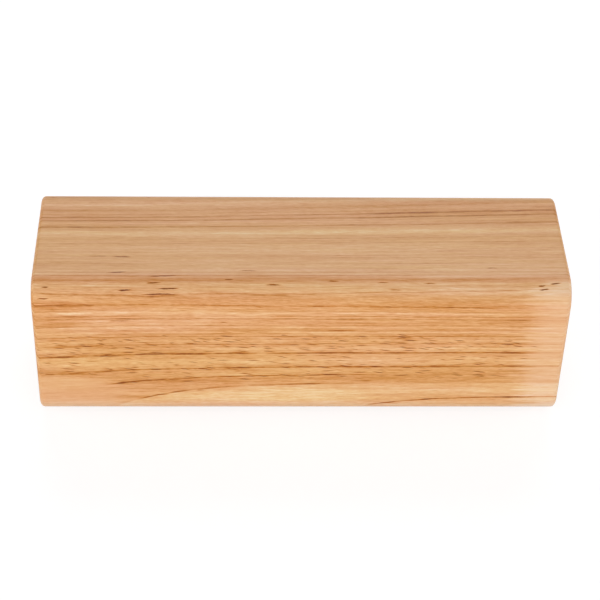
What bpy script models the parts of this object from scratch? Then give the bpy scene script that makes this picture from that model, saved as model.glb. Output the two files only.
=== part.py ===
"""Wood block: a slit drum cut from one billet of hardwood, standing on four small rubber feet.

Units are metres, +Z is up and X runs along the grain. The origin is on the surface that the feet
stand on, under the middle of the block. The plain long side faces -Y and the slotted one +Y.
"""

import math

import bmesh
import bpy
from mathutils import Matrix

# Billet, planed square, then rounded over along the grain and eased round both ends
BLOCK_LENGTH = 0.195
BLOCK_DEPTH = 0.061
BLOCK_HEIGHT = 0.063
LONG_EDGE_RADIUS = 0.0095
END_EDGE_RADIUS = 0.0016

# Sound slot, given by the wood that the saw leaves round it
TONE_PLATE_THICKNESS = 0.012
SLOT_HEIGHT = 0.010
FRONT_WALL_THICKNESS = 0.015
SOLID_END_LENGTH = 0.0125
LIP_CHAMFER = 0.0012

# Rubber feet, each glued into a shallow seat that is drilled in the flat of the underside
FOOT_RADIUS = 0.0050
FOOT_TIP_RADIUS = 0.0043
FOOT_TIP_ROUNDING = 0.0010
FOOT_STAND = 0.0030
FOOT_SEAT_DEPTH = 0.0012
FOOT_SEAT_CLEARANCE = 0.0003
SEAT_TO_LONG_ROUND = 0.0020
SEAT_TO_END = 0.0160

# Smoothness of the round forms, as flat steps in each
LONG_EDGE_STEPS = 10
END_EDGE_STEPS = 4
SAW_STEPS = 144
FOOT_STEPS = 40
FOOT_TIP_STEPS = 4
CREASE_ANGLE = math.radians(30)

# How far a cutter passes through the surface that it cuts, and the distance at which points join
CUTTER_REACH = 0.0010
JOIN_DISTANCE = 0.000001

HARDWOOD = {"colour": (0.72, 0.41, 0.19), "roughness": 0.38, "metallic": 0.0}
BLACK_RUBBER = {"colour": (0.018, 0.018, 0.019), "roughness": 0.78, "metallic": 0.0}

UNDERSIDE_Z = FOOT_STAND
TOP_Z = UNDERSIDE_Z + BLOCK_HEIGHT
REAR_Y = BLOCK_DEPTH / 2
SLOT_MIDDLE_Z = TOP_Z - TONE_PLATE_THICKNESS - SLOT_HEIGHT / 2
SLOT_DEPTH = BLOCK_DEPTH - FRONT_WALL_THICKNESS
SLOT_MOUTH_HALF = BLOCK_LENGTH / 2 - SOLID_END_LENGTH
SAW_RADIUS = (SLOT_MOUTH_HALF**2 + SLOT_DEPTH**2) / (2 * SLOT_DEPTH)
SEAT_RADIUS = FOOT_RADIUS + FOOT_SEAT_CLEARANCE
FOOT_X = BLOCK_LENGTH / 2 - SEAT_TO_END - SEAT_RADIUS
FOOT_Y = BLOCK_DEPTH / 2 - LONG_EDGE_RADIUS - SEAT_TO_LONG_ROUND - SEAT_RADIUS


def clear_scene():
    for old in list(bpy.data.objects):
        bpy.data.objects.remove(old, do_unlink=True)


def make_material(name, look):
    material = bpy.data.materials.new(name)
    material.use_nodes = True
    shader = material.node_tree.nodes["Principled BSDF"]
    shader.inputs["Base Color"].default_value = (*look["colour"], 1.0)
    shader.inputs["Roughness"].default_value = look["roughness"]
    shader.inputs["Metallic"].default_value = look["metallic"]
    return material


def mesh_from(bm, name):
    bmesh.ops.recalc_face_normals(bm, faces=bm.faces)
    mesh = bpy.data.meshes.new(name)
    bm.to_mesh(mesh)
    bm.free()
    mesh.shade_smooth()
    mesh.set_sharp_from_angle(angle=CREASE_ANGLE)
    return mesh


def place(name, mesh, parent=None, location=(0, 0, 0)):
    made = bpy.data.objects.new(name, mesh)
    bpy.context.scene.collection.objects.link(made)
    made.parent = parent
    made.location = location
    return made


def cut(body, cutter):
    """Takes the cutter's shape out of the body, and keeps the cutter as a guide drawn in wire."""
    cutter.hide_render = True
    cutter.display_type = "WIRE"
    boolean = body.modifiers.new(cutter.name, "BOOLEAN")
    boolean.operation = "DIFFERENCE"
    boolean.solver = "EXACT"
    boolean.object = cutter


def round_over(bm, edges, radius, steps):
    bmesh.ops.bevel(
        bm,
        geom=edges,
        offset=radius,
        offset_type="OFFSET",
        segments=steps,
        profile=0.5,
        affect="EDGES",
        clamp_overlap=True,
        material=-1,
    )


def cylinder_mesh(name, radius, height, steps):
    bm = bmesh.new()
    bmesh.ops.create_cone(
        bm,
        cap_ends=True,
        segments=steps,
        radius1=radius,
        radius2=radius,
        depth=height,
    )
    return mesh_from(bm, name)


def billet_mesh():
    """A square bar with a large round along the grain, and a small eased edge round each end."""
    bm = bmesh.new()
    size = Matrix.Diagonal((BLOCK_LENGTH, BLOCK_DEPTH, BLOCK_HEIGHT, 1))
    bmesh.ops.create_cube(bm, size=1, matrix=size)
    end_faces = [f for f in bm.faces if f.normal.cross((1, 0, 0)).length < JOIN_DISTANCE]
    end_edges = {e for f in end_faces for e in f.edges}
    round_over(bm, [e for e in bm.edges if e not in end_edges], LONG_EDGE_RADIUS, LONG_EDGE_STEPS)

    end_faces = [f for f in bm.faces if f.normal.cross((1, 0, 0)).length < JOIN_DISTANCE]
    round_over(bm, [e for f in end_faces for e in f.edges], END_EDGE_RADIUS, END_EDGE_STEPS)
    return mesh_from(bm, "block_body")


def slot_half_length(depth):
    """Half the slot's length along X, at a depth below the rear side, from the arc of the saw."""
    centre_to_chord = SAW_RADIUS - SLOT_DEPTH + depth
    return math.sqrt(SAW_RADIUS**2 - centre_to_chord**2)


def lip_cutter_mesh():
    """A wedge that chamfers the mouth of the slot all round and runs out where the arc begins.

    Its long sides lie at 45 degrees. Its ends lean further, so that they meet the arc of the saw
    as deep in the wood as the long sides meet the flats of the slot.
    """
    mouth_half = SLOT_MOUTH_HALF + LIP_CHAMFER
    end_lean = (mouth_half - slot_half_length(LIP_CHAMFER)) / LIP_CHAMFER
    bm = bmesh.new()
    bmesh.ops.create_cube(bm, size=2)
    for corner in bm.verts:
        outward = CUTTER_REACH if corner.co.y > 0 else -LIP_CHAMFER - CUTTER_REACH
        half_length = mouth_half + end_lean * outward
        half_height = SLOT_HEIGHT / 2 + LIP_CHAMFER + outward
        corner.co.x = math.copysign(half_length, corner.co.x)
        corner.co.y = outward
        corner.co.z = math.copysign(half_height, corner.co.z)
    return mesh_from(bm, "lip_cutter")


def foot_outline():
    """The foot's side in section, as (radius, height above the underside), from top to tip."""
    seated_top = FOOT_SEAT_DEPTH - FOOT_SEAT_CLEARANCE
    outline = [(FOOT_RADIUS, seated_top), (FOOT_RADIUS, 0)]
    for step in range(FOOT_TIP_STEPS + 1):
        turn = math.pi / 2 * step / FOOT_TIP_STEPS
        radius = FOOT_TIP_RADIUS - FOOT_TIP_ROUNDING * (1 - math.cos(turn))
        height = FOOT_TIP_ROUNDING * (1 - math.sin(turn)) - FOOT_STAND
        outline.append((radius, height))
    return outline


def foot_mesh():
    """A turned rubber bumper: straight in its seat, then tapered to a tip with a rounded rim.

    The spin makes the side, and one flat face closes each end of it.
    """
    bm = bmesh.new()
    points = [bm.verts.new((radius, 0, height)) for radius, height in foot_outline()]
    edges = [bm.edges.new(pair) for pair in zip(points, points[1:])]
    bmesh.ops.spin(
        bm,
        geom=points + edges,
        cent=(0, 0, 0),
        axis=(0, 0, 1),
        angle=math.tau,
        steps=FOOT_STEPS,
        use_merge=True,
        use_duplicate=False,
    )
    bmesh.ops.remove_doubles(bm, verts=bm.verts, dist=JOIN_DISTANCE)
    bmesh.ops.holes_fill(bm, edges=bm.edges, sides=0)
    return mesh_from(bm, "foot")


def build_body(parent):
    mesh = billet_mesh()
    mesh.materials.append(make_material("lacquered_hardwood", HARDWOOD))
    body = place("block_body", mesh, parent, (0, 0, UNDERSIDE_Z + BLOCK_HEIGHT / 2))

    saw_disc = cylinder_mesh("saw_disc", SAW_RADIUS, SLOT_HEIGHT, SAW_STEPS)
    saw_middle_y = REAR_Y + SAW_RADIUS - SLOT_DEPTH
    cut(body, place("saw_disc", saw_disc, parent, (0, saw_middle_y, SLOT_MIDDLE_Z)))
    cut(body, place("lip_cutter", lip_cutter_mesh(), parent, (0, REAR_Y, SLOT_MIDDLE_Z)))
    return body


def build_feet(parent, body):
    seat_drill = cylinder_mesh("seat_drill", SEAT_RADIUS, 2 * FOOT_SEAT_DEPTH, FOOT_STEPS)
    mesh = foot_mesh()
    mesh.materials.append(make_material("foot_rubber", BLACK_RUBBER))
    for row, y in (("front", -FOOT_Y), ("rear", FOOT_Y)):
        for end, x in (("left", -FOOT_X), ("right", FOOT_X)):
            seat = (x, y, UNDERSIDE_Z)
            cut(body, place(f"seat_{row}_{end}", seat_drill, parent, seat))
            place(f"foot_{row}_{end}", mesh, parent, seat)


def keep_flats_flat(body):
    """Shades the large flats as flat, although the rounds beside them are smooth."""
    weighted = body.modifiers.new("flat_faces_lead", "WEIGHTED_NORMAL")
    weighted.keep_sharp = True


def main():
    clear_scene()
    wood_block = place("wood_block", None)
    body = build_body(wood_block)
    build_feet(wood_block, body)
    keep_flats_flat(body)


main()
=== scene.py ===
# %% [markdown]
# # A wood block
#
# A concert wood block is a bar of hard timber with a deep slot sawn into one long side. The thin
# plate above the slot is what rings when it is struck. This one is seen from its plain side and
# from above, so nearly all that shows is timber, and most of this lesson grows believable wood.
#
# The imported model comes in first. It fixes where every piece is, and nothing here moves it.

# %% Load the fixed frame
import math

import bmesh
import bpy
from mathutils import Matrix, Vector


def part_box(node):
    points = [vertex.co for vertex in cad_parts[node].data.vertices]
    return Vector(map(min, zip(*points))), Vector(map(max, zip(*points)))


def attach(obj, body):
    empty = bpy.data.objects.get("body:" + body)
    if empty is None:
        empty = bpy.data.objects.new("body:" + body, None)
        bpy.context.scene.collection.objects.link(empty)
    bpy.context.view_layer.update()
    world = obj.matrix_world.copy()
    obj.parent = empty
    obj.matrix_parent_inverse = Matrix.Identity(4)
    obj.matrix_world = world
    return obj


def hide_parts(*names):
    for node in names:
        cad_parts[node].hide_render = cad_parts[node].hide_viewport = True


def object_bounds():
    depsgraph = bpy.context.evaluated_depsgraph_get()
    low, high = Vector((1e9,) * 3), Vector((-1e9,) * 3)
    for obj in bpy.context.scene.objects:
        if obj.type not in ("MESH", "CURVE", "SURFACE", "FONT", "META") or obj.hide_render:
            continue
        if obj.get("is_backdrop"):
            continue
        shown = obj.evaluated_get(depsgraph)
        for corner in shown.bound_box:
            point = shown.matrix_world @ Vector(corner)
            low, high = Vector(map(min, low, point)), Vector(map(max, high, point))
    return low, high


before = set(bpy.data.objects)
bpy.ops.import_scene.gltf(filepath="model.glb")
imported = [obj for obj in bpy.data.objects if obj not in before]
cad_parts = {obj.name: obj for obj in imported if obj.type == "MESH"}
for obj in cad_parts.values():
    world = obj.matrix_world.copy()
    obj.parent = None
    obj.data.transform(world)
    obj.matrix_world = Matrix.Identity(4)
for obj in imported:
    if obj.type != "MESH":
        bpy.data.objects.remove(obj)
CAD_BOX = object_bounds()
MM = 0.001

# %% [markdown]
# ## Sizes
#
# The block's length, depth and height are read from the frame. What a box can't say, such as how
# round the edges are and how much wood the saw left, is written here once, in metres.

# %% Sizes of the block
BLOCK_LOW, BLOCK_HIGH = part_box("block_body")
BLOCK_SIZE = BLOCK_HIGH - BLOCK_LOW
BLOCK_MIDDLE = (BLOCK_LOW + BLOCK_HIGH) / 2
LONG_EDGE_RADIUS = 9.5 * MM
END_EDGE_RADIUS = 1.6 * MM
TONE_PLATE = 12.0 * MM
SLOT_HEIGHT = 10.0 * MM
FRONT_WALL = 15.0 * MM
SOLID_END = 12.5 * MM
LIP_RADIUS = 1.2 * MM

SLOT_DEPTH = BLOCK_SIZE.y - FRONT_WALL
SLOT_MOUTH_HALF = BLOCK_SIZE.x / 2 - SOLID_END
SAW_RADIUS = (SLOT_MOUTH_HALF**2 + SLOT_DEPTH**2) / (2 * SLOT_DEPTH)
SLOT_MIDDLE_Z = BLOCK_HIGH.z - TONE_PLATE - SLOT_HEIGHT / 2
SAW_CENTRE = Vector((0, BLOCK_LOW.y + FRONT_WALL + SAW_RADIUS, SLOT_MIDDLE_Z))
print("block", [round(v / MM, 1) for v in BLOCK_SIZE], "mm; saw radius", round(SAW_RADIUS / MM, 1), "mm")

# %% [markdown]
# ## Small helpers for meshes
#
# Every mesh below starts as a bmesh and ends as an object that sits at the origin, unturned, with
# its place in its vertices. `finish_piece` does that once for all of them. Shading is smooth, and
# an edge stays crisp where two faces meet at more than the crease angle.

# %% Helpers for meshes
CREASE = math.radians(32)
JOIN_DISTANCE = 0.001 * MM


def link(name, data):
    made = bpy.data.objects.new(name, data)
    bpy.context.scene.collection.objects.link(made)
    return made


def finish_piece(name, bm):
    bmesh.ops.remove_doubles(bm, verts=bm.verts, dist=JOIN_DISTANCE)
    bmesh.ops.recalc_face_normals(bm, faces=bm.faces)
    mesh = bpy.data.meshes.new(name)
    bm.to_mesh(mesh)
    bm.free()
    mesh.shade_smooth()
    mesh.set_sharp_from_angle(angle=CREASE)
    return link(name, mesh)


def round_off(bm, parts, radius, steps, affect="EDGES"):
    bmesh.ops.bevel(bm, geom=parts, offset=radius, offset_type="OFFSET", segments=steps, profile=0.5,
                    affect=affect, clamp_overlap=True, material=-1)


# %% [markdown]
# ## The billet
#
# The real one is planed square, then run past a router bit that rounds its four long edges. The
# ends are only eased with sandpaper. Two bevels in that order give the same corners: a large
# round along the grain first, and then a small one that follows the outline of each end.

# %% Make the billet
LONG_EDGE_STEPS = 18
END_EDGE_STEPS = 6


def end_edges(bm):
    ends = [face for face in bm.faces if abs(face.normal.x) > math.cos(CREASE)]
    return {edge for face in ends for edge in face.edges}


billet = bmesh.new()
to_size = Matrix.Translation(BLOCK_MIDDLE) @ Matrix.Diagonal((*BLOCK_SIZE, 1))
bmesh.ops.create_cube(billet, size=1, matrix=to_size)
short_edges = end_edges(billet)
long_edges = [edge for edge in billet.edges if edge not in short_edges]
round_off(billet, long_edges, LONG_EDGE_RADIUS, LONG_EDGE_STEPS)
round_off(billet, list(end_edges(billet)), END_EDGE_RADIUS, END_EDGE_STEPS)
block = finish_piece("wood_block", billet)
print("billet faces", len(block.data.polygons))

# %% [markdown]
# ## The cutters
#
# The slot is a plunge cut. A saw disc sinks into the rear side and stops before the front wall,
# so the slot is deepest in the middle and runs out to nothing at both ends.
#
# The mouth is sanded to a small round, and a second cutter carries that round. It starts as a
# box, its sides are divided into thin slices, and each slice takes the outline that the slot has
# at its depth, grown by what the sandpaper takes there. The slices stay a hair inside the walls
# of the slot, because a Boolean cut is safest when no two faces lie in one plane.

# %% Make the cutters
SAW_STEPS = 288
LIP_STEPS = 8
REACH = 1.0 * MM
HAIR = 0.01 * MM


def cylinder(name, middle, radius, height, steps):
    bm = bmesh.new()
    bmesh.ops.create_cone(bm, cap_ends=True, segments=steps, radius1=radius, radius2=radius,
                          depth=height, matrix=Matrix.Translation(middle))
    return finish_piece(name, bm)


def slot_half_length(depth):
    to_axis = SAW_CENTRE.y - BLOCK_HIGH.y + depth
    return math.sqrt(SAW_RADIUS**2 - to_axis**2)


def lip_slice(step):
    """How deep a slice of the rounded lip lies, and how far it reaches out from the slot's walls."""
    turn = math.pi / 2 * step / LIP_STEPS
    return LIP_RADIUS * (1 - math.cos(turn)), LIP_RADIUS * (1 - math.sin(turn)) - HAIR


def lip_cutter():
    rounded = [lip_slice(step) for step in range(LIP_STEPS + 1)]
    slices = [(-REACH, LIP_RADIUS), *rounded, (LIP_RADIUS + REACH, -REACH / 2)]
    bm = bmesh.new()
    bmesh.ops.create_cube(bm, size=1)
    deep_edges = [edge for edge in bm.edges if abs(edge.verts[0].co.y - edge.verts[1].co.y) > 0.5]
    bmesh.ops.subdivide_edges(bm, edges=deep_edges, cuts=len(slices) - 2, use_grid_fill=True)
    for vertex in bm.verts:
        depth, growth = slices[round((0.5 - vertex.co.y) * (len(slices) - 1))]
        vertex.co.x = math.copysign(slot_half_length(max(depth, 0)) + growth, vertex.co.x)
        vertex.co.z = SLOT_MIDDLE_Z + math.copysign(SLOT_HEIGHT / 2 + growth, vertex.co.z)
        vertex.co.y = BLOCK_HIGH.y - depth
    return finish_piece("lip_cutter", bm)


cutters = [cylinder("saw_disc", SAW_CENTRE, SAW_RADIUS, SLOT_HEIGHT, SAW_STEPS), lip_cutter()]
print("slot half length at the mouth", round(slot_half_length(0) / MM, 1), "mm")

# %% [markdown]
# ## Seats for the feet
#
# Each foot is glued into a shallow drilled seat, so that it can't be knocked off sideways. The
# feet are CAD nodes, and their boxes say where the drill goes.

# %% Make the drills
FOOT_NODES = [name for name in sorted(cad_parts) if name.startswith("foot_")]
SEAT_DEPTH = 1.2 * MM
SEAT_CLEARANCE = 0.3 * MM
SEAT_STEPS = 96


def axis_and_radius(node):
    """Where the upright axis of a round node meets the ground, and the node's radius."""
    low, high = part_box(node)
    return Vector(((low.x + high.x) / 2, (low.y + high.y) / 2, 0)), (high.x - low.x) / 2


def drill(node):
    axis, radius = axis_and_radius(node)
    height = SEAT_DEPTH + REACH
    middle = axis + Vector((0, 0, BLOCK_LOW.z + SEAT_DEPTH - height / 2))
    return cylinder("drill_" + node, middle, radius + SEAT_CLEARANCE, height, SEAT_STEPS)


cutters.extend(drill(node) for node in FOOT_NODES)
print("cutters", [cutter.name for cutter in cutters])

# %% [markdown]
# ## Cut the block
#
# A Boolean modifier takes one cutter away, and evaluating the object turns the result into a
# plain mesh. The cutters are then thrown away. The faces that the saw and the drill made get
# their own material slot, because bare sawn wood looks nothing like lacquered wood.

# %% Cut the block
SKIN_SLACK = 0.02 * MM


def take_away(piece, cutter):
    cut = piece.modifiers.new(cutter.name, "BOOLEAN")
    cut.operation = "DIFFERENCE"
    cut.solver = "EXACT"
    cut.object = cutter
    evaluated = piece.evaluated_get(bpy.context.evaluated_depsgraph_get())
    shaped = bpy.data.meshes.new_from_object(evaluated)
    piece.modifiers.remove(cut)
    old = piece.data
    piece.data = shaped
    bpy.data.meshes.remove(old)
    bpy.data.objects.remove(cutter)


def is_cut_inside(face):
    """True for a face that the saw or a drill made, and False for the skin and its rounded lip."""
    middle = face.calc_center_median()
    if abs(middle.x) >= SLOT_MOUTH_HALF:
        return False
    in_slot = (BLOCK_LOW.y + FRONT_WALL - SKIN_SLACK < middle.y < BLOCK_HIGH.y - LIP_RADIUS
               and abs(middle.z - SLOT_MIDDLE_Z) < SLOT_HEIGHT / 2 + SKIN_SLACK)
    in_seat = (BLOCK_LOW.z + SKIN_SLACK < middle.z < BLOCK_LOW.z + SEAT_DEPTH + SKIN_SLACK
               and abs(middle.y) < BLOCK_HIGH.y - LONG_EDGE_RADIUS)
    return in_slot or in_seat


for cutter in cutters:
    take_away(block, cutter)

cut_block = bmesh.new()
cut_block.from_mesh(block.data)
bmesh.ops.remove_doubles(cut_block, verts=cut_block.verts, dist=JOIN_DISTANCE)
bmesh.ops.dissolve_degenerate(cut_block, edges=cut_block.edges, dist=JOIN_DISTANCE)
bmesh.ops.recalc_face_normals(cut_block, faces=cut_block.faces)
for face in cut_block.faces:
    face.material_index = int(is_cut_inside(face))
    face.smooth = True
open_edges = [edge for edge in cut_block.edges if not edge.is_manifold]
print("cut block faces", len(cut_block.faces), "sawn", sum(f.material_index for f in cut_block.faces),
      "open edges", len(open_edges), "volume", round(cut_block.calc_volume() / MM**3 / 1000, 1), "cm3")
cut_block.to_mesh(block.data)
cut_block.free()
block.data.set_sharp_from_angle(angle=CREASE)
steady = block.modifiers.new("flats stay flat", "WEIGHTED_NORMAL")
steady.keep_sharp = True

# %% [markdown]
# ## Rubber feet
#
# A small bumper foot is moulded: a slightly tapered stud with a rounded rim, which is easy to
# pull out of its mould. A lathe makes that shape, so here a half outline is spun round. The
# corners of the outline are rounded first, with a vertex bevel.

# %% Turn the feet
FOOT_TIP_RADIUS = 4.3 * MM
FOOT_RIM_ROUND = 1.0 * MM
FOOT_BASE_ROUND = 0.25 * MM
FOOT_ROUND_STEPS = 6
FOOT_STEPS = 96


def turned(name, axis, outline, rounds, round_steps, steps):
    """Spins an outline of (out, up) corners round an upright axis. Some corners are rounded first."""
    bm = bmesh.new()
    corners = [bm.verts.new(axis + Vector((out, 0, up))) for out, up in outline]
    for one, other in zip(corners, corners[1:]):
        bm.edges.new((one, other))
    for corner, radius in rounds.items():
        round_off(bm, [corners[corner]], radius, round_steps, affect="VERTICES")
    bmesh.ops.spin(bm, geom=bm.verts[:] + bm.edges[:], cent=axis, axis=(0, 0, 1), angle=2 * math.pi,
                   steps=steps, use_merge=True)
    return finish_piece(name, bm)


def moulded_foot(node):
    low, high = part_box(node)
    axis, base = axis_and_radius(node)
    outline = [(0, low.z), (FOOT_TIP_RADIUS, low.z), (base, BLOCK_LOW.z), (base, high.z), (0, high.z)]
    rounds = {1: FOOT_RIM_ROUND, 3: FOOT_BASE_ROUND}
    return turned(node + "_moulded", axis, outline, rounds, FOOT_ROUND_STEPS, FOOT_STEPS)


feet = {node: moulded_foot(node) for node in FOOT_NODES}
for node, foot in feet.items():
    print(node, "faces", len(foot.data.polygons), "height", round(foot.dimensions.z / MM, 2), "mm")

# %% [markdown]
# ## A short way to wire nodes
#
# A material is a net of small sums. `Wiring` adds one node at a time to a tree and takes numbers
# or sockets alike, so that a formula reads like a formula.

# %% Helper for nodes
NODE_WIDTH, NODE_HEIGHT, NODES_IN_A_ROW = 190, 170, 12


class Wiring:
    def __init__(self, tree):
        self.tree = tree

    def feed(self, socket, value):
        if isinstance(value, bpy.types.NodeSocket):
            self.tree.links.new(value, socket)
        else:
            socket.default_value = value

    def fill(self, node, inputs):
        for socket, value in dict(inputs).items():
            self.feed(node.inputs[socket], value)
        return node

    def add(self, kind, inputs=(), **settings):
        node = self.tree.nodes.new(kind)
        row, column = divmod(len(self.tree.nodes), NODES_IN_A_ROW)
        node.location = (NODE_WIDTH * column, -NODE_HEIGHT * row)
        for name, value in settings.items():
            setattr(node, name, value)
        return self.fill(node, inputs)

    def use(self, group, inputs):
        return self.fill(self.add("ShaderNodeGroup", node_tree=group.tree), inputs).outputs

    def math(self, operation, *values):
        return self.add("ShaderNodeMath", enumerate(values), operation=operation).outputs[0]

    def times(self, one, other):
        return self.math("MULTIPLY", one, other)

    def times_plus(self, one, other, extra):
        return self.math("MULTIPLY_ADD", one, other, extra)

    def minus(self, one, other):
        return self.math("SUBTRACT", one, other)

    def total(self, first, *others):
        for other in others:
            first = self.math("ADD", first, other)
        return first

    def vector(self, operation, *values):
        return self.add("ShaderNodeVectorMath", enumerate(values), operation=operation).outputs[0]

    def stretch(self, point, factors):
        return self.vector("MULTIPLY", point, factors)

    def length(self, value):
        return self.add("ShaderNodeVectorMath", {0: value}, operation="LENGTH").outputs["Value"]

    def split(self, value):
        return self.add("ShaderNodeSeparateXYZ", {0: value}).outputs

    def surface(self):
        """A point of the piece, and the way that its surface faces there."""
        found = self.add("ShaderNodeTexCoord").outputs
        return found["Object"], found["Normal"]

    def join(self, x, y, z):
        return self.add("ShaderNodeCombineXYZ", {0: x, 1: y, 2: z}).outputs[0]

    def ease(self, value, start, end, low=0.0, high=1.0):
        """low until the value reaches start, high from end on, and a smooth step between."""
        inputs = {"Value": value, "From Min": start, "From Max": end, "To Min": low, "To Max": high}
        node = self.add("ShaderNodeMapRange", inputs, interpolation_type="SMOOTHSTEP", clamp=False)
        return node.outputs["Result"]

    def band(self, value, first, full, fading, last):
        """1 between full and fading, and 0 before first and past last."""
        return self.times(self.ease(value, first, full), self.ease(value, last, fading))

    def noise(self, point, often=None, detail=2, roughness=0.5):
        """Noise from -1 to 1. `often` is the number of blotches in one unit of each axis."""
        if often:
            point = self.stretch(point, often)
        inputs = {"Vector": point, "Scale": 1.0, "Detail": detail, "Roughness": roughness}
        node = self.add("ShaderNodeTexNoise", inputs, noise_dimensions="3D")
        return self.times_plus(node.outputs["Fac"], 2.0, -1.0)

    def colours(self, mask, first, second, blend="MIX"):
        node = self.add("ShaderNodeMix", data_type="RGBA", blend_type=blend, clamp_factor=True)
        shown = [socket for socket in node.inputs if socket.enabled]
        for socket, value in zip(shown, (mask, first, second)):
            self.feed(socket, value)
        return next(socket for socket in node.outputs if socket.enabled)


def group_with(name, inputs, outputs):
    """A new node group: its wiring, the values that it is given, and its output node."""
    tree = bpy.data.node_groups.new(name, "ShaderNodeTree")
    for direction, sockets in (("INPUT", inputs), ("OUTPUT", outputs)):
        for label, kind in sockets.items():
            tree.interface.new_socket(label, in_out=direction, socket_type="NodeSocket" + kind)
    wiring = Wiring(tree)
    return wiring, wiring.add("NodeGroupInput").outputs, wiring.add("NodeGroupOutput")


def srgb(red, green, blue):
    """A colour as a paint program shows it, turned into the linear one that a node takes."""
    share = [value / 255 for value in (red, green, blue)]
    linear = [s / 12.92 if s <= 0.04045 else ((s + 0.055) / 1.055) ** 2.4 for s in share]
    return (*linear, 1.0)


# %% [markdown]
# ## Where the tree was
#
# Wood isn't a pattern on a surface. It is a stack of cones round the pith, and a board shows
# whatever its faces happen to cut. So the first group works out, for any point of the block, how
# far along the trunk it was, how far from the pith, and how far round it. These three numbers, in
# millimetres, are the x, y and z of its grain point. All later patterns are made in them, so they
# meet properly at every edge.
#
# The front of this block has wide arches low down and close lines near the top, and the top has
# straight lines that fan out to the right. That can only be so if the pith ran behind the block,
# about a fifth of the way up, and a few degrees askew. The numbers below came from following
# the lines in the picture and solving for the pith that explains them. The rings also wander a
# little, but not back and forth where they lie nearly level with the front.

# %% Node group: place in the tree
FRONT, TOP, BEND = BLOCK_LOW.y / MM, BLOCK_HIGH.z / MM, LONG_EDGE_RADIUS / MM
PITH_BEHIND_FRONT = 88.97
PITH_LEAN_BACK = -0.097
PITH_HEIGHT = 13.14
PITH_LEAN_UP = 0.0143
PITH_CURVE_UP = 0.000013
TRUNK_TAPER = 0.0961
TRUNK_TAPER_CURVE = 0.000015
LEFT_FLARE = 0.0061
LEFT_FLARE_FROM = -57.5
ROUND_SCALE = 80.0
WANDER = 0.3
WANDER_OFTEN = (0.022, 0.11, 0.11)
ELSEWHERE = (7.3, 1.9, 4.1)
STEEP_ANGLES = (0.3, 0.55)

place, given, result = group_with("place in the tree", {"Position": "Vector"}, {"Grain Point": "Vector"})
millimetres = place.stretch(given["Position"], (1 / MM,) * 3)
along, world_y, world_z = place.split(millimetres)[:3]
drift = place.stretch(millimetres, WANDER_OFTEN)
wander_up = place.times(place.noise(drift, detail=3), WANDER)
drift = place.vector("ADD", drift, ELSEWHERE)
wander_back = place.times(place.noise(drift, detail=3), WANDER)
along_squared = place.times(along, along)
pith_y = place.times_plus(along, PITH_LEAN_BACK, PITH_BEHIND_FRONT + FRONT)
pith_z = place.times_plus(along, PITH_LEAN_UP, PITH_HEIGHT + BLOCK_LOW.z / MM)
pith_z = place.times_plus(along_squared, PITH_CURVE_UP, pith_z)
up = place.total(place.minus(world_z, pith_z), wander_up)
forward = place.minus(pith_y, world_y)
angle = place.math("ARCTAN2", up, forward)
forward = place.times_plus(wander_back, place.ease(angle, *STEEP_ANGLES), forward)
radius = place.length(place.join(0, forward, up))
radius = place.times_plus(along, TRUNK_TAPER, radius)
radius = place.times_plus(along_squared, TRUNK_TAPER_CURVE, radius)
flare = place.math("MAXIMUM", place.minus(LEFT_FLARE_FROM, along), 0)
radius = place.times_plus(flare, LEFT_FLARE, radius)
place.fill(result, {"Grain Point": place.join(along, radius, place.times(angle, ROUND_SCALE))})
print("nodes that place a point in the tree", len(place.tree.nodes))

# %% [markdown]
# ## Growth lines
#
# Each year ends in a thin dense line, and between two of them the wood drifts from pale to warm.
# The lines that can be told apart are listed by their distance from the pith, with half their
# thickness and how much darker (or, below zero, paler) they are. Two more numbers say where a
# line starts and ends along the block.
#
# The front cuts the rings at a flat angle, so a line a tenth of a millimetre thick looks ten
# times as wide there, and the top cuts them steeply. A ring also changes on its way round the
# trunk. So one list is for the wood behind the front and one for the wood below the top. The
# outermost lines, and those nearer to the pith, go the whole way round and have their own list.

# %% The lines that show
WHOLE_LINES = [
    (98.38, 0.12, 0.42), (97.9, 0.1, 0.2), (97.62, 0.1, 0.2), (95.45, 0.16, 0.12), (87.6, 0.55, -0.08),
    (86.35, 0.25, 0.14), (85.3, 0.5, 0.12), (83.4, 0.25, 0.18), (81.4, 1.0, -0.1), (79.4, 0.25, 0.2),
    (77.35, 0.2, 0.24), (74.8, 1.9, -0.26), (71.8, 0.55, 0.38), (70.2, 0.5, -0.14), (68.85, 0.48, 0.42),
    (67.35, 0.4, 0.36), (66.1, 0.6, 0.12), (67.3, 1.4, 0.24, 15.0, 220.0), (64.45, 0.8, 0.16),
    (62.2, 1.4, -0.2),
]
FRONT_LINES = [
    (97.2, 0.3, -0.3), (96.62, 0.16, 0.34), (96.12, 0.2, 0.4), (94.98, 0.14, 0.2), (94.65, 0.16, -0.24),
    (94.25, 0.1, 0.12), (93.88, 0.16, -0.26), (93.27, 0.12, 0.38), (92.65, 0.2, -0.16), (92.2, 0.14, 0.34),
    (91.66, 0.24, -0.16), (91.12, 0.12, 0.66), (90.4, 0.4, -0.16), (89.88, 0.09, 0.56), (89.26, 0.2, 0.16),
]
TOP_LINES = [
    (97.2, 0.3, -0.14), (96.1, 0.6, 0.2), (94.6, 0.45, 0.3), (93.1, 0.45, 0.24), (91.3, 0.6, 0.1),
    (89.2, 0.16, 0.28),
]
print("growth lines", len(WHOLE_LINES + FRONT_LINES + TOP_LINES))

# %% [markdown]
# ## From the lists to a tone
#
# Each row becomes a smooth peak in the distance from the pith, and one sum of all the peaks says
# how much the lines darken the wood. A little noise pushes the lines in and out, so that their
# edges are ragged, and a slower one makes each line stronger here and weaker there.

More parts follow.
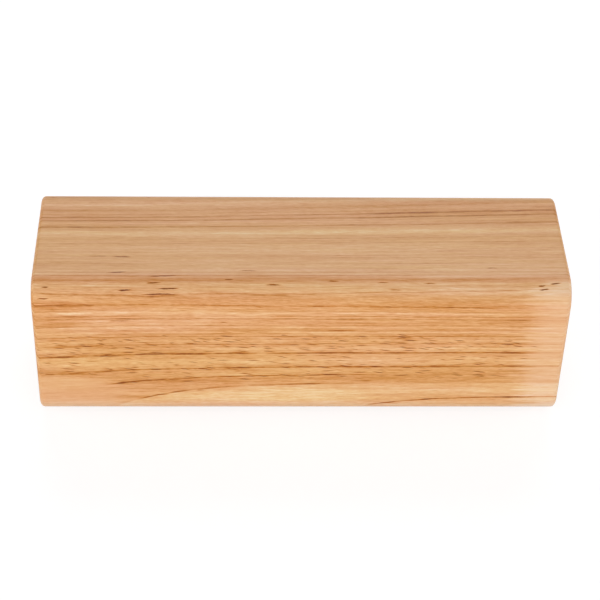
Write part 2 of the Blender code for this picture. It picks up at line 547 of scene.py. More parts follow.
# %% Node group: growth lines
FRONT_ENDS, TOP_STARTS = 36.0, 43.0
LEVEL_WITH_PITH = (-2.0, -1.0)
RAGGED = 0.07
RAG_SIZE = (14.0, 3.0, 0.8)
FADE_IN, FADE_OUT = 10.0, 25.0
MEAN_STRENGTH = 0.85

lines, given, result = group_with("growth lines", {"Grain Point": "Vector"}, {"Tone": "Float"})
along, radius, round_way = lines.split(given["Grain Point"])[:3]
rag = lines.noise(lines.vector("DIVIDE", given["Grain Point"], RAG_SIZE))
ragged_radius = lines.times_plus(rag, RAGGED, radius)


def add_lines(listed):
    tone = 0
    for from_pith, half_width, darker, *reach in listed:
        off = lines.math("ABSOLUTE", lines.minus(ragged_radius, from_pith))
        dark = lines.ease(off, half_width, 0, 0, darker)
        if reach:
            first, last = reach
            dark = lines.times(dark, lines.ease(along, first, first + FADE_IN))
            dark = lines.times(dark, lines.ease(along, last, last - FADE_OUT))
        tone = lines.total(tone, dark)
    return tone


flat_sawn = lines.ease(round_way, TOP_STARTS, FRONT_ENDS)
above_pith = lines.ease(round_way, *LEVEL_WITH_PITH)
front_tone = lines.times(lines.times(add_lines(FRONT_LINES), above_pith), flat_sawn)
top_tone = lines.times(add_lines(TOP_LINES), lines.minus(1, flat_sawn))
named_tone = lines.total(add_lines(WHOLE_LINES), front_tone, top_tone)
slow = lines.stretch(given["Grain Point"], (0.10, 0.6, 0.3))
uneven = lines.times_plus(flat_sawn, 0.9, 0.8)
strength = lines.times_plus(lines.noise(slow, detail=3, roughness=0.7), uneven, MEAN_STRENGTH)
lines.fill(result, {"Tone": lines.times(named_tone, strength)})
print("nodes that draw the lines", len(lines.tree.nodes))

# %% [markdown]
# ## Years that the picture doesn't show
#
# The rear, the slot and most of the underside cut wood nearer the pith. There the rings come from
# a Voronoi texture along the radius alone. Its cells are the years, each with its own width, and
# the distance from the middle of a cell tells how far a year has got. Late wood darkens slowly
# and stops short, and early wood follows it.

# %% Node group: unseen years
YEAR_WIDTH = 2.6
LATE_WOOD = (-0.9, -0.05, -0.02, 0.12)
EARLY_WOOD = (0.0, 0.15, 0.7, 1.1)
YEAR_DARK = 0.42
YEAR_TINT = 0.22
UNSEEN_BELOW = (60.0, 57.0)

years, given, result = group_with(
    "unseen years", {"Grain Point": "Vector"}, {"Tone": "Float", "Early Wood": "Float"}
)
radius = years.split(given["Grain Point"])[1]
counted = years.math("DIVIDE", radius, YEAR_WIDTH)
cells = years.add("ShaderNodeTexVoronoi", {"W": counted, "Scale": 1.0, "Randomness": 0.75},
                  voronoi_dimensions="1D", feature="F1")
since = years.times(years.minus(counted, cells.outputs["W"]), YEAR_WIDTH)
strength = years.times_plus(years.noise(given["Grain Point"], (0.02, 0.3, 0.05)), 0.8, 0.75)
line = years.times(years.band(since, *LATE_WOOD), strength)
year_tint = years.times_plus(years.split(cells.outputs["Color"])[0], YEAR_TINT, -YEAR_TINT / 2)
unseen = years.ease(radius, *UNSEEN_BELOW)
tone = years.times(years.total(years.times(line, YEAR_DARK), year_tint), unseen)
opening = years.times(years.band(since, *EARLY_WOOD), unseen)
years.fill(result, {"Tone": tone, "Early Wood": opening})
print("a year is about", YEAR_WIDTH, "mm wide; nodes", len(years.tree.nodes))

# %% [markdown]
# ## Pores
#
# Vessels carried water up the trunk. Each is a tube a quarter of a millimetre wide, and where a
# face cuts it lengthwise it leaves a short dark dash. They crowd in the first wood of a year and
# are rare elsewhere. A three-dimensional Voronoi texture scatters the tubes, and the offset from
# the nearest one is measured in millimetres, so that each becomes a long thin grain of dark. On
# the ends of the block the same tubes show as dots. `Spread` says how likely a tube is, and one
# that only just misses the draw is faint instead of gone.

# %% Node group: pores
PORE_SPACING = Vector((7.2, 0.40, 0.76))
PORE_HALF = Vector((3.6, 0.27, 0.23))
PORE_TILT, LEAST_TILT = 0.24, -0.05
PORE_CURL = 0.1
PORE_GROWTH, LEAST_SIZE = 0.8, 0.35
FAINT = 0.3

pores, given, result = group_with("pores", {"Grain Point": "Vector", "Spread": "Float"}, {"Mask": "Float"})
scattered = pores.vector("DIVIDE", given["Grain Point"], tuple(PORE_SPACING))
cells = pores.add("ShaderNodeTexVoronoi", {"Vector": scattered, "Scale": 1.0, "Randomness": 0.9},
                  voronoi_dimensions="3D", feature="F1")
offset = pores.vector("SUBTRACT", scattered, cells.outputs["Position"])
offset = pores.stretch(offset, tuple(PORE_SPACING))
chance, slant, size = pores.split(cells.outputs["Color"])[:3]
off_x, off_r, off_t = pores.split(offset)[:3]
tilt = pores.times_plus(slant, PORE_TILT, LEAST_TILT)
off_t = pores.total(off_t, pores.times(off_x, tilt))
curl = pores.noise(given["Grain Point"], (0.7, 1.5, 0.8), detail=1)
off_t = pores.times_plus(curl, PORE_CURL, off_t)
bulk = pores.length(pores.vector("DIVIDE", pores.join(off_x, off_r, off_t), tuple(PORE_HALF)))
reach = pores.times_plus(size, PORE_GROWTH, LEAST_SIZE)
dash = pores.ease(pores.math("DIVIDE", bulk, reach), 1, 0.15)
kept = pores.ease(pores.minus(given["Spread"], chance), 0, FAINT)
pores.fill(result, {"Mask": pores.times(dash, kept)})
print("pores are about", round(2 * PORE_HALF.x, 1), "mm long; nodes", len(pores.tree.nodes))

# %% [markdown]
# ## Gum flecks
#
# A few dashes are darker and longer than pores: vessels filled with gum. They are few enough to
# be placed one by one. Each is given by its middle along the block, its distance over the
# profile from the back of the top flat, its length, its tilt in degrees and its darkness.

# %% The flecks that show
FLECKS = [
    (-74, 32.4, 6, 0, 0.35), (-65.7, 32.6, 6.5, -1, 0.9), (-67, 41.5, 6.5, 4, 0.85),
    (-50.5, 43.3, 12, 2.5, 0.65), (-53.5, 46.3, 5, 2, 0.95), (-63.8, 49.1, 4.5, 3.5, 1.25),
    (-48.5, 48.5, 7.5, 1, 1.5), (-51, 50.5, 12.5, 0.5, 1.1), (-92.3, 48, 2.5, 2, 0.95),
    (-93, 52.2, 4, 2, 0.95), (-19.5, 40.4, 6, 0, 0.7), (-26.5, 44.9, 3, 0, 0.8), (-10.5, 46.9, 5.5, 0, 0.95),
    (-66, 61.9, 8.5, 0, 0.65), (11, 45.5, 4, 0, 0.62), (29, 46, 4, 2, 0.64), (46, 46.3, 4.5, 1, 0.68),
    (33.5, 48.8, 4.5, -1, 0.55), (14, 66.4, 10, 0, 0.5), (69, 38.5, 4.5, 0, 0.55), (91.5, 46.2, 3.5, 6, 1.5),
    (87.2, 48.5, 3.5, 4, 1.35), (86.5, 47.2, 2.5, 3, 0.95), (38, 69.6, 5.5, -3, 0.55),
    (40, 71.2, 6.5, 0, 0.55), (39, 74.6, 6, -2, 0.5), (76, 73.1, 5, -1, 0.85), (36, 72.3, 7, 0, 0.55),
    (-40.5, 72.9, 5.5, -7, 0.65), (74.5, 83.3, 3, -8, 0.6), (-66.5, 93, 3.5, 0, 0.35),
    (-23.5, 77.2, 8, 1, 0.6), (-70.5, 79.2, 9, 1, 0.6), (28, 84.2, 5.5, -3, 0.65), (12, 88.2, 10, 0, 0.45),
    (23, 91.6, 9, 0, 0.4), (-37, 96.4, 4, 2.5, 0.6), (-51.5, 98.6, 6.5, 2, 0.45), (48, 101, 4, 1, 0.45),
    (93, 2.2, 9, 0, 0.3),
]
print("gum flecks", len(FLECKS))

# %% [markdown]
# ## From the list to the skin
#
# `on_skin` turns a place over the profile into a point of the skin, so that a fleck goes a little
# way into the wood, as a real one does. Around that point the space is squeezed to the fleck's
# length and width, and the fleck is a ball in it.

# %% Node group: gum flecks
TOP_FLAT = (BLOCK_SIZE.y - 2 * LONG_EDGE_RADIUS) / MM
ARC = math.pi / 2 * LONG_EDGE_RADIUS / MM
FLECK_HALF_WIDTH = 0.32
FLECK_STRETCH = 1.35
FLECK_CORE = 0.3
FLECK_FRAY = 0.22

flecks, given, result = group_with("gum flecks", {"Position": "Vector"}, {"Mask": "Float"})


def on_skin(along, over):
    """The point of the skin in millimetres, and the direction there that leads round the profile."""
    if over < TOP_FLAT:
        return Vector((along, BLOCK_HIGH.y / MM - BEND - over, TOP)), Vector((0, -1, 0))
    if over > TOP_FLAT + ARC:
        return Vector((along, FRONT, TOP - BEND - (over - TOP_FLAT - ARC))), Vector((0, 0, -1))
    turn = (over - TOP_FLAT) / BEND
    point = Vector((along, FRONT + BEND - BEND * math.sin(turn), TOP - BEND + BEND * math.cos(turn)))
    return point, Vector((0, -math.cos(turn), -math.sin(turn)))


millimetres = flecks.stretch(given["Position"], (1 / MM,) * 3)
ragged = flecks.times(flecks.noise(millimetres, (0.45, 0.9, 0.9)), FLECK_FRAY)
ragged_point = flecks.vector("ADD", millimetres, flecks.join(0, ragged, ragged))
only_along = flecks.split(ragged_point)[0]
only_along = flecks.join(only_along, only_along, only_along)
mask = 0
for along, over, long, tilt, dark in FLECKS:
    middle, down = on_skin(along, over)
    lean = down * -math.tan(math.radians(tilt))
    upright = flecks.vector("MULTIPLY_ADD", only_along, -lean, ragged_point)
    shrink = Vector((2 / (long * FLECK_STRETCH), 1 / FLECK_HALF_WIDTH, 1 / FLECK_HALF_WIDTH))
    own = flecks.vector("MULTIPLY_ADD", upright, shrink, -(middle - lean * along) * shrink)
    mask = flecks.math("MAXIMUM", mask, flecks.ease(flecks.length(own), 1, FLECK_CORE, 0, dark))
flecks.fill(result, {"Mask": mask})
print("nodes that draw the flecks", len(flecks.tree.nodes))

# %% [markdown]
# ## Paler and darker patches
#
# Lacquer soaks in unevenly and a tree colours its wood in blotches. Soft patches are placed one
# by one. Some of them are painted light: the right end of the front is pale and pinkish, and so
# is its lower left, which is a painted reflection. Each row gives the middle of a patch along the
# block and over the profile, its half size in the same two ways, and how much darker and how much
# rosier the wood is. A few rows go on with the softness of the rim and how far the figure is
# calmed.

# %% The patches that show
# Some rows are painted light. The first row is the pale pinkish right end of the front, and the third is its
# pale lower left. Both are painted reflections. The pale row at 104.5 along the lower edge is a painted
# reflection. The pale row at 48.3 along the rounded top edge is a painted highlight. The rosy rows at 44 and
# 44.9, where the top turns into the round, are partly painted shade and partly grain.
PATCHES_AND_PAINTED_LIGHT = [
    (99, 80, 19.5, 60, -0.26, 0.42, 0.42, 0.45), (88, 20, 30, 22, 0.06, 0.06, 0.8, 0),
    (-90, 98, 32, 10, -0.21, 0.28, 0.5, 0.5), (-86, 54.5, 15, 1.8, 0.2, 0.3), (-55, 60, 46, 6, -0.13, 0.22),
    (50, 88, 38, 6.5, 0.09, -0.3), (-40, 83, 62, 9, 0.02, -0.45), (48, 54, 42, 4, 0.14, 0),
    (30, 101, 90, 8, -0.05, 0), (0, 104.5, 300, 3, -0.12, 0.35), (96, 14, 26, 5, -0.05, -0.1),
    (-85, 22, 45, 24, 0.06, -0.1), (0, 41.9, 300, 3.6, -0.07, 0.22), (0, 6, 300, 10, 0.03, 0.42),
    (-12, 98.5, 46, 4.6, -0.11, -0.15), (0, 44, 300, 2, 0.04, 0.75), (70, 43.8, 40, 1.8, -0.1, 0),
    (0, 44.9, 300, 1.8, 0, 0.8), (0, 48.3, 300, 4, -0.13, 0.15), (64, 49.3, 32, 3, -0.12, 0.1),
    (-15, 51.9, 60, 2, 0.14, 0), (-62, 60.3, 34, 1.1, 0.13, 0), (-62, 66, 34, 5.5, -0.07, 0.15),
    (-30, 70.2, 75, 2.2, -0.08, 0.05), (-62, 76.5, 34, 3.5, 0.07, 0), (62, 76, 42, 1.6, -0.12, 0),
    (70, 83, 38, 1.3, -0.1, 0), (68, 90, 40, 1.8, -0.14, 0), (62, 101.9, 44, 2.6, 0.12, -0.1),
    (70, 8.5, 45, 4.5, 0.05, -0.35), (0, 34, 300, 11, -0.08, 0.12), (20, 63, 120, 6, -0.04, 0.12),
    (28.6, 103.3, 2.4, 0.8, 0.5, -0.2, 0.8, 0),
]
print("patches", len(PATCHES_AND_PAINTED_LIGHT))

# %% [markdown]
# ## Lay the patches on
#
# The distance over the profile is taken here from one plain sum of the two cross coordinates,
# which runs evenly down the top, round the edge and down the front. A patch belongs to the front
# or to the top and fades out a few millimetres below it, so none of them comes out underneath.
#
# Noise that is fine across the grain and long along it shifts the places, so that each thin row
# of grain ends a patch a little sooner or later than the next.

# %% Node group: patches
CORNER = (TOP_FLAT + 0.5, TOP_FLAT + 5.0)
FRONT_FROM = TOP_FLAT + 2.5
SKIN_FULL, SKIN_GONE = 7.0, 12.0
ROW_SHIFT = 17.0
PATCH_FRAY = 0.35
PATCH_RIM = 1.05
USUAL_SOFTNESS = 0.5


def over_a_square_corner(over):
    """The distance over the profile, as it is measured if the rounded edge is taken to be square."""
    turn = min(max((over - TOP_FLAT) / BEND, 0), math.pi / 2)
    return over - BEND * turn + BEND * (1 - math.cos(turn) + math.sin(turn))


patches, given, result = group_with(
    "patches", {"Position": "Vector"}, {"Tone": "Float", "Rosy": "Float", "Calm": "Float"}
)
millimetres = patches.stretch(given["Position"], (1 / MM,) * 3)
along, back_way, up_way = patches.split(millimetres)[:3]
over = patches.minus((BLOCK_HIGH.y - LONG_EDGE_RADIUS + BLOCK_HIGH.z) / MM, patches.total(back_way, up_way))
frayed = patches.noise(millimetres, (0.05, 0.35, 0.35), detail=3)
rows = patches.noise(millimetres, (0.012, 0.95, 0.95))
profile_point = patches.join(patches.times_plus(rows, ROW_SHIFT, along), over, 0)
past_corner = patches.ease(over, *CORNER)
in_front = patches.ease(back_way, FRONT + SKIN_GONE, FRONT + SKIN_FULL)
in_front = patches.times(in_front, past_corner)
on_top = patches.ease(up_way, TOP - SKIN_GONE, TOP - SKIN_FULL)
on_top = patches.times(on_top, patches.minus(1, past_corner))
tone, rosy, calm = 0, 0, 1
for middle, down, half_along, half_down, darker, rosier, *rest in PATCHES_AND_PAINTED_LIGHT:
    softness, calmer = rest or (USUAL_SOFTNESS, 0)
    side = in_front if down > FRONT_FROM else on_top
    centre = Vector((middle, over_a_square_corner(down), 0))
    shrink = Vector((1 / half_along, 1 / half_down, 0))
    own = patches.vector("MULTIPLY_ADD", profile_point, shrink, -centre * shrink)
    reach = patches.times_plus(frayed, PATCH_FRAY, patches.length(own))
    mask = patches.times(patches.ease(reach, PATCH_RIM, PATCH_RIM - softness), side)
    tone = patches.times_plus(mask, darker, tone)
    rosy = patches.times_plus(mask, rosier, rosy)
    if calmer:
        calm = patches.times_plus(mask, -calmer, calm)
print("nodes that lay on the patches", len(patches.tree.nodes))

# %% [markdown]
# ## Long arches
#
# Low on the front the saw grazes a few rings, and they make long arches. A ring so nearly level
# with the face is hard to place by its distance from the pith, because a hair's error moves it
# by centimetres. So three arches are drawn as curves that fall and then level out, and under the
# middle one lies a pale band. A row says where an arch starts and ends along the block, the level
# that it falls to, how far and how quickly it falls, and how dark it is.

# %% Arches for the same group
ARCHES = [
    (-74, 40, 88, 5.9, 33, 0.6),
    (-62, 34, 92.6, 9.1, 24, 0.66),
    (24, 125, 99.5, 4.9, 21, 0.95),
]
HEART_LEVEL = 92.6
HEART_EDGE = 0.2
HEART_DEPTH, HEART_FADE = FRONT + 2.0, 0.5
HEART_PALE = -0.18
ARCH_HALF = 0.5
ARCH_FRAY = 0.25
ARCH_IN, ARCH_OUT = 5.0, 30.0
SQUARE_CORNER = (2 - math.pi / 2) * LONG_EDGE_RADIUS / MM

pulse = patches.noise(millimetres, (0.16, 0.4, 0.4), detail=3)
pulse = patches.math("MAXIMUM", patches.times_plus(pulse, 1.3, 0.75), 0.40)
for start, end, level, rise, run, darker in ARCHES:
    falling = patches.math("EXPONENT", patches.times_plus(along, -1 / run, start / run))
    arch = patches.times_plus(falling, rise, level + SQUARE_CORNER)
    below = patches.times_plus(frayed, ARCH_FRAY, patches.minus(over, arch))
    if level == HEART_LEVEL:
        heart = patches.ease(below, -HEART_EDGE, HEART_EDGE)
    shown = patches.band(along, start, start + ARCH_IN, end - ARCH_OUT, end)
    shown = patches.times(shown, in_front)
    line = patches.ease(patches.math("ABSOLUTE", below), ARCH_HALF, 0)
    line = patches.times(patches.times(line, shown), pulse)
    tone = patches.times_plus(line, darker, tone)
shallow = patches.ease(back_way, HEART_DEPTH + HEART_FADE, HEART_DEPTH - HEART_FADE)
tone = patches.times_plus(patches.times(heart, shallow), HEART_PALE, tone)
patches.fill(result, {"Tone": tone, "Rosy": rosy, "Calm": calm})
print("arches", len(ARCHES), "nodes by now", len(patches.tree.nodes))

# %% [markdown]
# ## The timber's tone
#
# The last group adds it all up. A single number, the tone, says how dark the wood is. The growth
# lines, the unseen years, the patches and noise at four scales push it up and down. `Skin` is 1
# on the long sides, and 0 on the ends and in the slot, where no patch belongs.

# %% Node group: timber
MEAN_TONE = 0.34
BROAD, BANDS, STREAKS, FIBRES = 0.22, 0.28, 0.44, 0.34
GRAIN_ROUGHNESS = 0.55
CALM_TOP = 0.74

timber, given, result = group_with(
    "timber", {"Position": "Vector", "Skin": "Float"}, {"Colour": "Color", "Height": "Float"}
)
grain = timber.use(place, {"Position": given["Position"]})["Grain Point"]
radius, round_way = timber.split(grain)[1:3]
named = timber.use(lines, {"Grain Point": grain})["Tone"]
unseen = timber.use(years, {"Grain Point": grain})


def grain_noise(sizes, detail=2, shift=0.0):
    """Noise whose blotches have these sizes along the grain, out from the pith and round it."""
    point = timber.vector("ADD", timber.vector("DIVIDE", grain, sizes), (shift,) * 3)
    return timber.noise(point, detail=detail, roughness=GRAIN_ROUGHNESS)


broad = grain_noise((120, 4, 22))
bands = grain_noise((60, 0.7, 2.3), shift=3.7)
streaks = grain_noise((11, 0.27, 0.38), detail=3, shift=8.1)
fibres = grain_noise((2.6, 0.19, 0.25), shift=5.2)
patch = timber.use(patches, {"Position": given["Position"]})
front_part = timber.ease(round_way, TOP_STARTS, FRONT_ENDS)
grain_tone = timber.total(timber.times(broad, BROAD), timber.times(bands, BANDS),
                          timber.times(streaks, STREAKS), timber.times(fibres, FIBRES))
grain_tone = timber.times(grain_tone, timber.times_plus(front_part, 1.0 - CALM_TOP, CALM_TOP))
calm = timber.times_plus(timber.minus(patch["Calm"], 1), given["Skin"], 1)
figure = timber.times(timber.total(grain_tone, named, unseen["Tone"]), calm)
tone = timber.total(figure, timber.times(patch["Tone"], given["Skin"]), MEAN_TONE)
print("nodes in the tone", len(timber.tree.nodes))

# %% [markdown]
# ## Where the pores are
#
# On the front they crowd in two belts of rings, one of them above the pith only, and in the
# unseen years they crowd in the early wood. They come in clusters, and calm wood has hardly any.

# %% Timber: pores and flecks
BELT = (91.15, 91.3, 92.25, 93.95)
LOWER_BELT = (89.12, 89.3, 90.6, 90.95)
IN_BELT, IN_LOWER_BELT, ON_FRONT = 1.45, 0.72, 0.12
IN_EARLY_WOOD, ANYWHERE = 0.55, 0.02
FEWER_IN_CALM = 3.0
PORE_DARK = 0.9

belt = timber.band(radius, *BELT)
lower = timber.times(timber.band(radius, *LOWER_BELT), timber.ease(round_way, -1, 1))
spread = timber.total(timber.times(belt, IN_BELT), timber.times(lower, IN_LOWER_BELT), ON_FRONT)
spread = timber.times(spread, front_part)
spread = timber.total(spread, timber.times(unseen["Early Wood"], IN_EARLY_WOOD), ANYWHERE)
clusters = timber.times_plus(grain_noise((9, 0.5, 1.8), shift=14.9), 1.3, 0.95)
spread = timber.times(timber.times(spread, clusters), timber.math("POWER", calm, FEWER_IN_CALM))
pore_mask = timber.use(pores, {"Grain Point": grain, "Spread": spread})["Mask"]
fleck_mask = timber.use(flecks, {"Position": given["Position"]})["Mask"]
shade = timber.total(timber.times_plus(pore_mask, PORE_DARK, tone), fleck_mask)
print("belts of pores at", BELT[0], "and", LOWER_BELT[0], "mm from the pith")

# %% [markdown]
# ## From tone to colour
#
# One colour ramp turns the tone into cream, straw, honey, orange and brown. Pores and flecks have
# added to the tone, so they are the same colours further on. A slow noise and the rosy patches
# then lean the hue to rose or yellow, and the rosy patches include a painted reflection and a
# painted highlight. Wood whose rings stand on edge, as they do in the top, is a little cooler, and
# that cooler tint on the top is also a painted sheen, the pale veil that the back light leaves in
# it. The group also puts out a height for the relief.

# %% Timber: colour and height
TONE_START, TONE_END = -0.2, 1.5
CREAM = srgb(243, 211, 168)
STRAW = srgb(236, 193, 142)
HONEY = srgb(228, 172, 118)
AMBER = srgb(217, 155, 97)
CARAMEL = srgb(205, 137, 70)
TOFFEE = srgb(186, 114, 44)
UMBER = srgb(152, 78, 18)
GUM = srgb(98, 40, 8)
BETWEEN = ((0.0, STRAW), (0.22, HONEY), (0.42, AMBER), (0.61, CARAMEL), (0.79, TOFFEE), (1.02, UMBER))
ROSIER = (1.00, 0.96, 1.11, 1)
YELLOWER = (1.00, 1.03, 0.9, 1)
COOLER_TOP_AND_SHEEN_TINT = (0.97, 1.035, 1.08, 1)
HUE_DRIFT, HUE_LEAN, HUE_REACH = 0.6, -0.1, 0.9
FIBRE_HEIGHT, PORE_HEIGHT = 0.25, -0.12

span = TONE_END - TONE_START
ramp = timber.add("ShaderNodeValToRGB", {"Fac": timber.times_plus(shade, 1 / span, -TONE_START / span)})
stops = ramp.color_ramp.elements
stops[0].color, stops[-1].color = CREAM, GUM
for at_tone, colour in BETWEEN:
    stops.new((at_tone - TONE_START) / span).color = colour

rosy = timber.times(patch["Rosy"], given["Skin"])
hue = timber.total(timber.times(grain_noise((50, 1.4, 6), shift=11.3), HUE_DRIFT), rosy, HUE_LEAN)
tint = timber.colours(timber.ease(hue, -HUE_REACH, HUE_REACH), YELLOWER, ROSIER)
colour = timber.colours(1, ramp.outputs["Color"], tint, blend="MULTIPLY")
# The top is tinted cooler: partly its quarter-sawn wood and partly a painted sheen.
quarter_sawn_and_sheen = timber.times(timber.minus(1, front_part), given["Skin"])
cooler_and_sheen = timber.colours(quarter_sawn_and_sheen, (1, 1, 1, 1), COOLER_TOP_AND_SHEEN_TINT)
colour = timber.colours(1, colour, cooler_and_sheen, blend="MULTIPLY")
height = timber.total(timber.times(fibres, FIBRE_HEIGHT), timber.times(pore_mask, PORE_HEIGHT))
timber.fill(result, {"Colour": colour, "Height": height})
groups = (place, lines, years, pores, flecks, patches, timber)
print("nodes in the timber", sum(len(group.tree.nodes) for group in groups))

# %% [markdown]
# ## Lacquered wood
#
# The block has a thin satin lacquer. It deepens the colour, fills the pores nearly level and
# gives a soft, even sheen. In the Principled BSDF the coat is that lacquer, and the wood below
# stays fairly dull. The ends drink more lacquer and go darker. What counts as an end is read
# from the normal, which there points along the block.

# %% Material: lacquered wood
END_TINT = (0.86, 0.78, 0.7, 1)
END_TURN = (0.75, 0.97)
SATIN_OFTEN = (60, 240, 240)


def new_material(name):
    material = bpy.data.materials.new(name)
    material.use_nodes = True
    return material, Wiring(material.node_tree), material.node_tree.nodes["Principled BSDF"]


def press_relief(wiring, shader, height, strength, depth):
    relief = wiring.add("ShaderNodeBump", {"Strength": strength, "Distance": depth, "Height": height})
    wiring.fill(shader, {"Normal": relief.outputs["Normal"]})


lacquered, wiring, shader = new_material("lacquered_wood")
point, facing = wiring.surface()
ends = wiring.ease(wiring.math("ABSOLUTE", wiring.split(facing)[0]), *END_TURN)
wood = wiring.use(timber, {"Position": point, "Skin": wiring.minus(1, ends)})
end_colour = wiring.colours(1, wood["Colour"], END_TINT, blend="MULTIPLY")
satin = wiring.noise(point, SATIN_OFTEN, detail=3)
wiring.fill(shader, {
    "Base Color": wiring.colours(ends, wood["Colour"], end_colour),
    "Roughness": wiring.times_plus(satin, 0.05, 0.46),
    "Specular IOR Level": 0.12,
    "Coat Weight": 0.25,
    "Coat Roughness": 0.26,
})
press_relief(wiring, shader, wood["Height"], 0.22, 0.10 * MM)
print(lacquered.name, "nodes", len(wiring.tree.nodes))

# %% [markdown]
# ## Sawn wood
#
# Inside the slot there is only a mist of overspray. The wood is paler and dry, and the saw has
# left its marks: arcs round the saw's axis on the roof and floor, and fine lines along the
# curved inner wall, where it also burnished the wood brown.

# %% Material: sawn wood
DRY = srgb(236, 204, 160)
DRIED = 0.38
BURNISHED = srgb(150, 96, 54)
BURNISHED_DEPTH = 2.5 * MM
MIST_DEPTH = 7.0 * MM
FLAT_MARKS = (2200, 1, 14)
WALL_MARKS = (3200, 1, 10)

sawn, wiring, shader = new_material("sawn_wood")
point, facing = wiring.surface()
wood = wiring.use(timber, {"Position": point, "Skin": 0})
from_axis = wiring.vector("SUBTRACT", point, tuple(SAW_CENTRE))
axis_x, axis_y, axis_z = wiring.split(from_axis)[:3]
out = wiring.length(wiring.join(axis_x, axis_y, 0))
level = wiring.math("ABSOLUTE", wiring.split(facing)[2])
is_flat = wiring.ease(level, 0.3, 0.7)
teeth_flat = wiring.noise(wiring.join(out, 0, axis_x), FLAT_MARKS)
teeth_wall = wiring.noise(wiring.join(axis_z, 0, axis_x), WALL_MARKS)
teeth = wiring.total(wiring.times(teeth_flat, is_flat),
                     wiring.times(teeth_wall, wiring.minus(1, is_flat)))
near_wall = wiring.ease(out, SAW_RADIUS - BURNISHED_DEPTH, SAW_RADIUS)
blotches = wiring.noise(point, (70, 160, 160), detail=3)
burn = wiring.times(near_wall, wiring.ease(blotches, -0.6, 0.7, 0.10, 0.60))
colour = wiring.colours(DRIED, wood["Colour"], DRY)
colour = wiring.colours(wiring.ease(teeth, -0.2, 0.8, 0, 0.16), colour, BURNISHED)
in_slot = wiring.minus(BLOCK_HIGH.y, wiring.split(point)[1])
mist = wiring.ease(in_slot, MIST_DEPTH, 0)
wiring.fill(shader, {
    "Base Color": wiring.colours(burn, colour, BURNISHED),
    "Roughness": wiring.times_plus(mist, -0.22, 0.80),
    "Coat Weight": wiring.times(mist, 0.6),
    "Coat Roughness": 0.35,
})
marks = wiring.total(wiring.times(teeth, 0.6), wiring.times(wood["Height"], 0.5))
press_relief(wiring, shader, marks, 0.5, 0.12 * MM)
print(sawn.name, "nodes", len(wiring.tree.nodes))

# %% [markdown]
# ## Moulded rubber
#
# Rubber is never quite black. It has a bloom, a greyish film that sits unevenly on it, a fine
# mould texture, and a tip that is scuffed paler by the table.

# %% Material: moulded rubber
RUBBER = srgb(38, 37, 37)
BLOOM = srgb(74, 72, 70)
SCUFF = srgb(96, 93, 90)
SCUFF_HEIGHT = 0.5 * MM

rubber, wiring, shader = new_material("moulded_rubber")
point, facing = wiring.surface()
film = wiring.noise(point, (420,) * 3, detail=4, roughness=0.6)
texture = wiring.noise(point, (5200,) * 3, detail=1)
colour = wiring.colours(wiring.ease(film, -0.3, 0.6, 0, 0.5), RUBBER, BLOOM)
tip = wiring.ease(wiring.split(point)[2], SCUFF_HEIGHT, 0)
scuffed = wiring.times(tip, wiring.ease(film, -0.4, 0.5, 0.15, 0.7))
wiring.fill(shader, {
    "Base Color": wiring.colours(scuffed, colour, SCUFF),
    "Roughness": wiring.ease(film, -0.6, 0.6, 0.62, 0.82),
    "Specular IOR Level": 0.4,
})
grip = wiring.total(wiring.times(texture, 0.6), wiring.times(film, 0.4))
press_relief(wiring, shader, grip, 0.35, 0.06 * MM)
print(rubber.name, "nodes", len(wiring.tree.nodes))

# %% [markdown]
# ## Dress the pieces
#
# Each new piece takes its materials and rides on the one body, and the imported node that it
# stands for is hidden.

# %% Dress the pieces
block.data.materials.clear()
block.data.materials.append(lacquered)
block.data.materials.append(sawn)
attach(block, "root")
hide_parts("block_body")
for node, foot in feet.items():
    foot.data.materials.append(rubber)
    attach(foot, "root")
    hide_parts(node)
print("dressed", block.name, [foot.name for foot in feet.values()])

# %% [markdown]
# ## The stage
#
# The picture has a white ground. A round cove gives one from every side: a flat floor that
# curves up into a wall, spun from one outline. To the camera, and in reflections, it glows a
# little, so that it reads as white without any more light on the block. To all other light it
# is plain pale paper, so the block still throws a soft shadow on it.

# %% Build the stage
COVE_RADIUS = 2.6
COVE_BEND = 0.9
COVE_HEIGHT = 1.6
COVE_BEND_STEPS = 24
COVE_STEPS = 96
PAPER = (0.8, 0.8, 0.8, 1)
SEEN_PAPER = (0.3, 0.3, 0.3, 1)
GLOW = 0.8

paper, wiring, shader = new_material("cove_paper")
path = wiring.add("ShaderNodeLightPath").outputs
seen = wiring.total(path["Is Camera Ray"], path["Is Glossy Ray"], path["Is Transmission Ray"])
seen = wiring.math("MINIMUM", seen, 1)
wiring.fill(shader, {
    "Base Color": wiring.colours(seen, PAPER, SEEN_PAPER),
    "Roughness": 1.0,
    "Specular IOR Level": 0.0,
    "Emission Color": (1, 1, 1, 1),
    "Emission Strength": wiring.times(seen, GLOW),
})
half_outline = [(0, 0), (COVE_RADIUS, 0), (COVE_RADIUS, COVE_HEIGHT)]
cove = turned("cove", Vector(), half_outline, {1: COVE_BEND}, COVE_BEND_STEPS, COVE_STEPS)
cove.data.materials.append(paper)
cove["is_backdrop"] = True
print("cove faces", len(cove.data.polygons))

# %% [markdown]
# ## Light
#
# A large softbox on the camera's side lights the front, and a second one behind and above is
# mirrored in the top, which gives the paler, cooler veil that the top has. A small one at each
# end keeps the ends from going dull. The world fills the rest with a plain even light. An area
# light's power is found from how bright a white card should look under it, which keeps the
# numbers readable.

# %% Set up the light
TARGET = Vector((0, 0, BLOCK_MIDDLE.z))
FILL_STRENGTH = 0.1


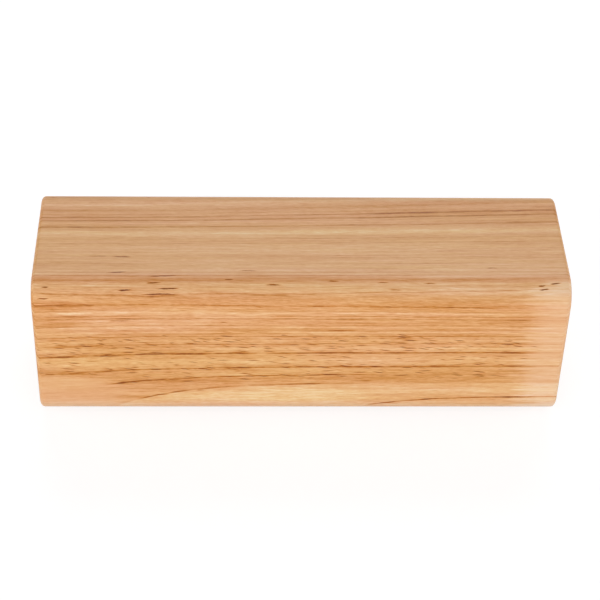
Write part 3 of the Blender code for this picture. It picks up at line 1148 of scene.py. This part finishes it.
def softbox(name, side, up, away, width, height, card):
    side, up = math.radians(side), math.radians(up)
    back = Vector((math.sin(side) * math.cos(up), -math.cos(side) * math.cos(up), math.sin(up)))
    lamp = bpy.data.lights.new(name, "AREA")
    lamp.shape = "RECTANGLE"
    lamp.size, lamp.size_y = width, height
    lamp.energy = card * math.pi**2 * away**2
    holder = link(name, lamp)
    holder.location = TARGET + back * away
    holder.rotation_euler = (-back).to_track_quat("-Z", "Y").to_euler()
    holder.visible_camera = False
    print(name, round(lamp.energy, 1), "W")


softbox("key_softbox", side=-6.0, up=31.0, away=1.8, width=3.0, height=2.0, card=1.00)
softbox("back_softbox", side=176.0, up=45.0, away=1.7, width=1.4, height=0.9, card=0.42)
softbox("left_softbox", side=-92.0, up=9.0, away=1.6, width=1.4, height=0.9, card=0.24)
softbox("right_softbox", side=92.0, up=9.0, away=1.6, width=1.4, height=0.9, card=0.24)

world = bpy.data.worlds.new("plain_studio")
world.use_nodes = True
background = world.node_tree.nodes["Background"].inputs
background["Color"].default_value = (1, 1, 1, 1)
background["Strength"].default_value = FILL_STRENGTH
bpy.context.scene.world = world
bpy.context.scene.view_settings.view_transform = "Standard"

# %% [markdown]
# ## The camera
#
# The picture was taken from about 41 degrees above, a little left of the middle, with a long
# lens and the camera rolled by a hair. These numbers were found by laying the block's outline
# over the picture until they agreed to half a pixel.

# %% Place the camera
CAMERA_PLACE = Vector((-0.023244, -0.525917, 0.490286))
CAMERA_DOWN = math.radians(40.8363)
CAMERA_TURN = math.radians(2.572)
CAMERA_ROLL = math.radians(1.8089)
LENS = 109.626
SENSOR = 36.0
NEAREST_SEEN = 0.01


def camera_axes(down, turn, roll):
    """Right, up and back of a camera that looks down, turns to its right and rolls."""
    ahead = Vector((math.sin(turn) * math.cos(down), math.cos(turn) * math.cos(down), -math.sin(down)))
    level = Vector((math.cos(turn), -math.sin(turn), 0))
    lifted = level.cross(ahead)
    right = level * math.cos(roll) + lifted * math.sin(roll)
    top = lifted * math.cos(roll) - level * math.sin(roll)
    return right, top, -ahead


lens = bpy.data.cameras.new("camera")
lens.lens = LENS
lens.sensor_width = SENSOR
lens.clip_start = NEAREST_SEEN
camera = link("camera", lens)
turned_by = Matrix(camera_axes(CAMERA_DOWN, CAMERA_TURN, CAMERA_ROLL)).transposed()
camera.matrix_world = Matrix.Translation(CAMERA_PLACE) @ turned_by.to_4x4()
bpy.context.scene.camera = camera
print("camera", [round(v, 3) for v in CAMERA_PLACE], "lens", LENS, "mm")

# %% [markdown]
# ## Finish
#
# The box of the imported model and the box of the dressed one are kept side by side. The last
# line prints how much the dressed one has grown.

# %% Finish
DRESSED_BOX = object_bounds()
growth = (DRESSED_BOX[1] - DRESSED_BOX[0]) - (CAD_BOX[1] - CAD_BOX[0])
print("grown by", [round(v / MM, 3) for v in growth], "mm")
